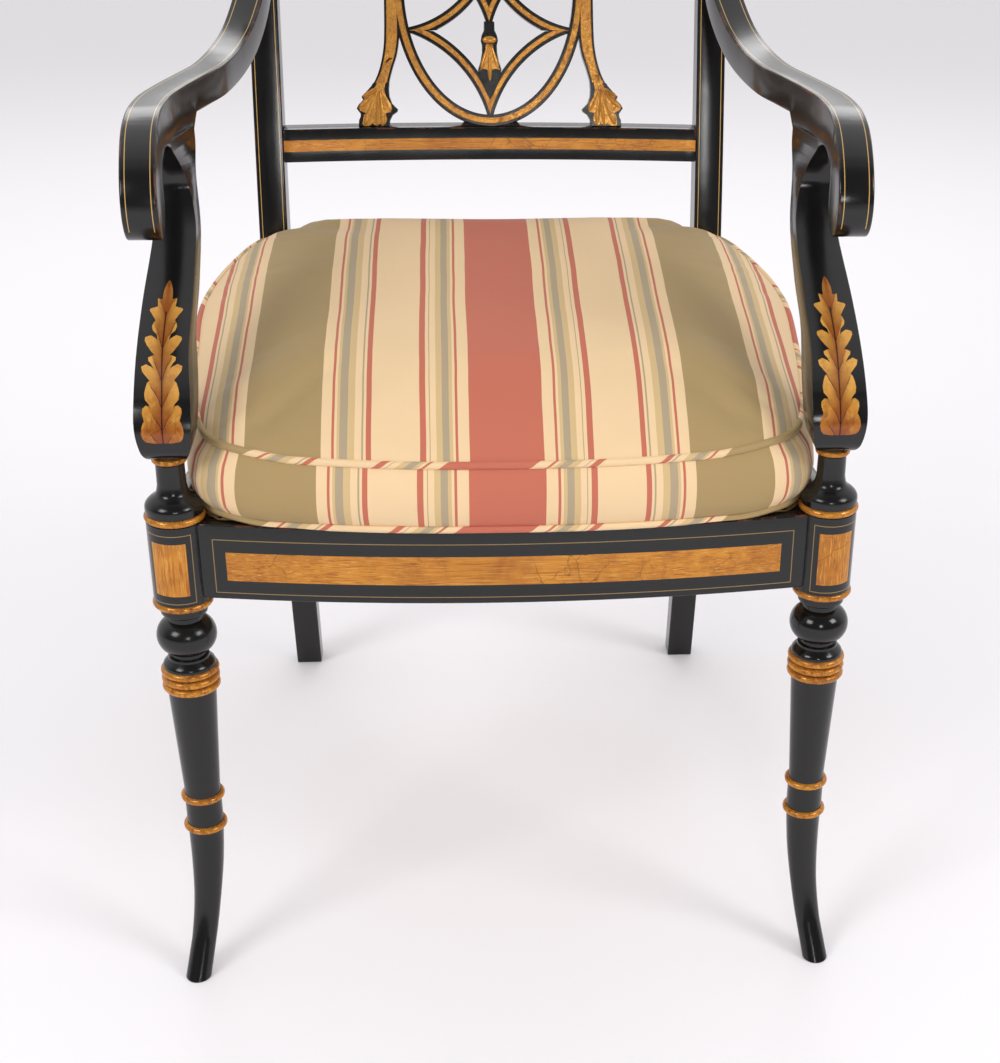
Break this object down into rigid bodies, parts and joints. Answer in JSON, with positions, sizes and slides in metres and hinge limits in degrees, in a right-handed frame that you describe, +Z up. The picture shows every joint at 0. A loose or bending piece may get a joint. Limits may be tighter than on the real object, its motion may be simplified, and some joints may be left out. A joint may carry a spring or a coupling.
{
  "type": "lyre back armchair",
  "caption": "Open armchair with an ebonised and gilt beech frame, scrolled arms, turned front legs, sabre back legs, a pierced oval splat, a cane seat and a loose striped cushion that lifts off",
  "frame": {"origin": "on the floor under the middle of the chair's bounding box", "axes": "+X to the right-hand side seen from the front, +Y from the front to the back, +Z up"},
  "size_m": [0.5634, 0.6154, 0.91],
  "materials": {
    "ebonised_beech": "black lacquer, glossy, worn red-brown at the edges, with gilt lines",
    "gilded_beech": "gold paint over black, rubbed",
    "plain_beech": "unfinished",
    "woven_cane": "natural cane, satin",
    "dull_steel": "dull",
    "striped_cloth": "woven cotton, matt"
  },
  "bodies": {
    "frame": {"cane_panel": "woven_cane", "crest_rail": "ebonised_beech", "front_seat_rail": "ebonised_beech", "left_arm": "ebonised_beech", "left_arm_dowel": "plain_beech", "left_arm_screw": "dull_steel", "left_arm_screw_plug": "ebonised_beech", "left_arm_stump": "ebonised_beech", "left_arm_support": "ebonised_beech", "left_back_post": "ebonised_beech", "left_front_block_front_screw": "dull_steel", "left_front_block_side_screw": "dull_steel", "left_front_corner_block": "plain_beech", "left_front_leg": "ebonised_beech", "left_rear_block_rear_screw": "dull_steel", "left_rear_block_side_screw": "dull_steel", "left_rear_corner_block": "plain_beech", "left_side_seat_rail": "ebonised_beech", "lower_back_rail": "ebonised_beech", "lyre_splat": "gilded_beech", "rear_seat_rail": "ebonised_beech", "right_arm": "ebonised_beech", "right_arm_dowel": "plain_beech", "right_arm_screw": "dull_steel", "right_arm_screw_plug": "ebonised_beech", "right_arm_stump": "ebonised_beech", "right_arm_support": "ebonised_beech", "right_back_post": "ebonised_beech", "right_front_block_front_screw": "dull_steel", "right_front_block_side_screw": "dull_steel", "right_front_corner_block": "plain_beech", "right_front_leg": "ebonised_beech", "right_rear_block_rear_screw": "dull_steel", "right_rear_block_side_screw": "dull_steel", "right_rear_corner_block": "plain_beech", "right_side_seat_rail": "ebonised_beech"},
    "cushion": {"seat_cushion": "striped_cloth"}
  },
  "joints": [
    {"name": "cushion_lift", "type": "slide", "parent": "frame", "child": "cushion", "axis": [0, 0, 1], "range_m": [0, 0.17]}
  ]
}
